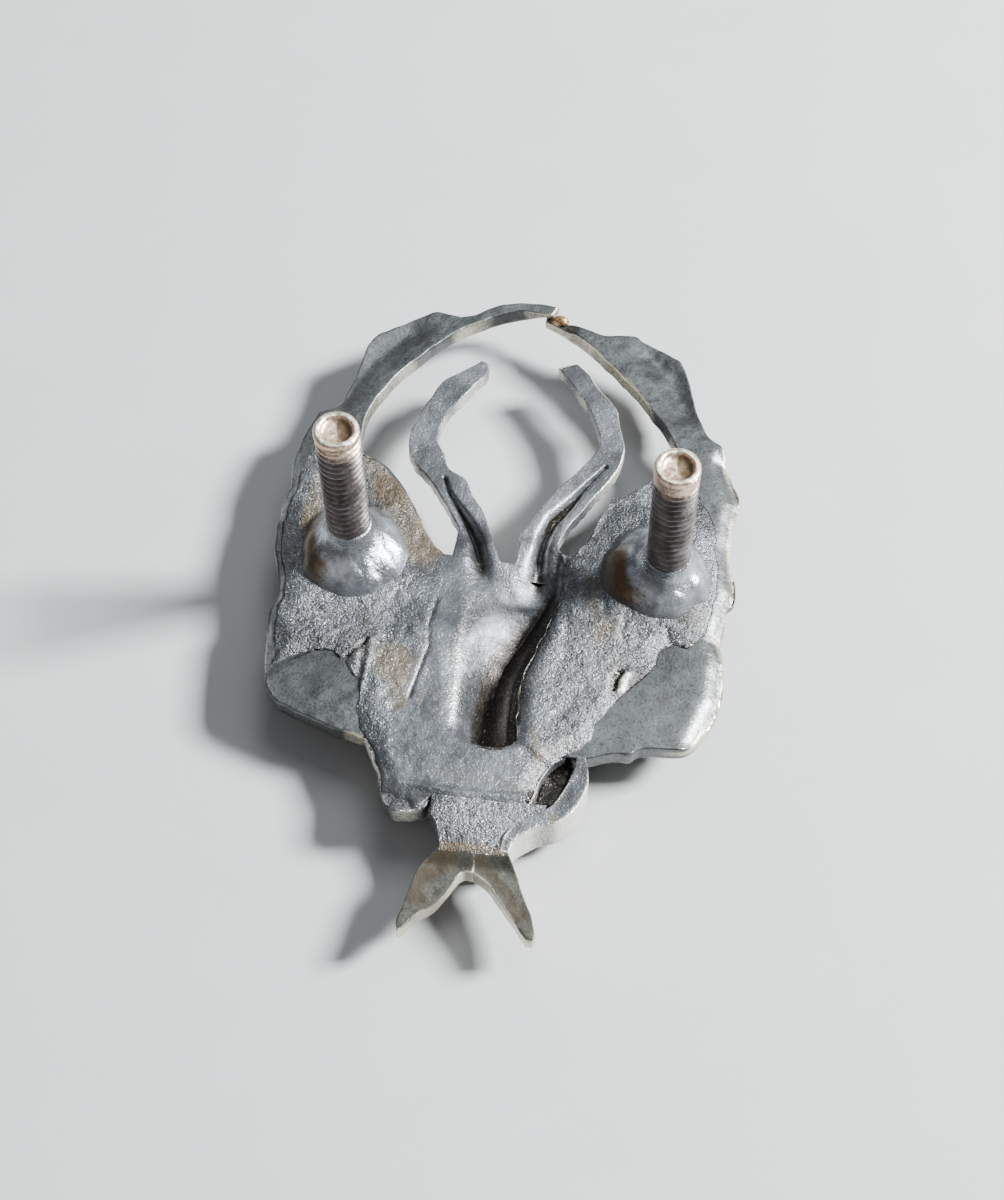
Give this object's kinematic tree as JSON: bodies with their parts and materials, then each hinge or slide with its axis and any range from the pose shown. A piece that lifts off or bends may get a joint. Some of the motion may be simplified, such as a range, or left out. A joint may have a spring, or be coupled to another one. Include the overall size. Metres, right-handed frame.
{
  "type": "cap badge",
  "caption": "Hollow-backed metal cap badge with a horned antelope head in an open leaf wreath, ribbon tails, and threaded studs soldered to the back.",
  "frame": {"origin": "below the middle of the badge's outline, on the surface that the badge lies on face down", "axes": "+Z out of the badge's back along the studs, +Y towards the top of the wreath, +X to the right as the back is seen"},
  "size_m": [0.0302, 0.0482, 0.0167],
  "materials": {
    "wreath_bronze": "dark bronzed brass, rubbed paler on edges",
    "head_bronze": "dark bronzed brass, satin",
    "ribbon_bronze": "dark bronzed brass with dull patches",
    "rough_coat": "rough, pitted grey coat of solder and lacquer",
    "threaded_brass": "grey threads, copper-coloured at the cut end",
    "solder": "smooth grey solder under lacquer",
    "bare_brass": "bare worn brass"
  },
  "bodies": {
    "root": {"wreath_branch_left": "wreath_bronze", "wreath_branch_right": "wreath_bronze", "antelope_head": "head_bronze", "base_scroll": "rough_coat", "ribbon_tie": "ribbon_bronze", "rear_coat": "rough_coat", "stud_left": "threaded_brass", "stud_right": "threaded_brass", "solder_collar_left": "solder", "solder_collar_right": "solder", "top_joint_solder": "bare_brass"}
  },
  "joints": []
}
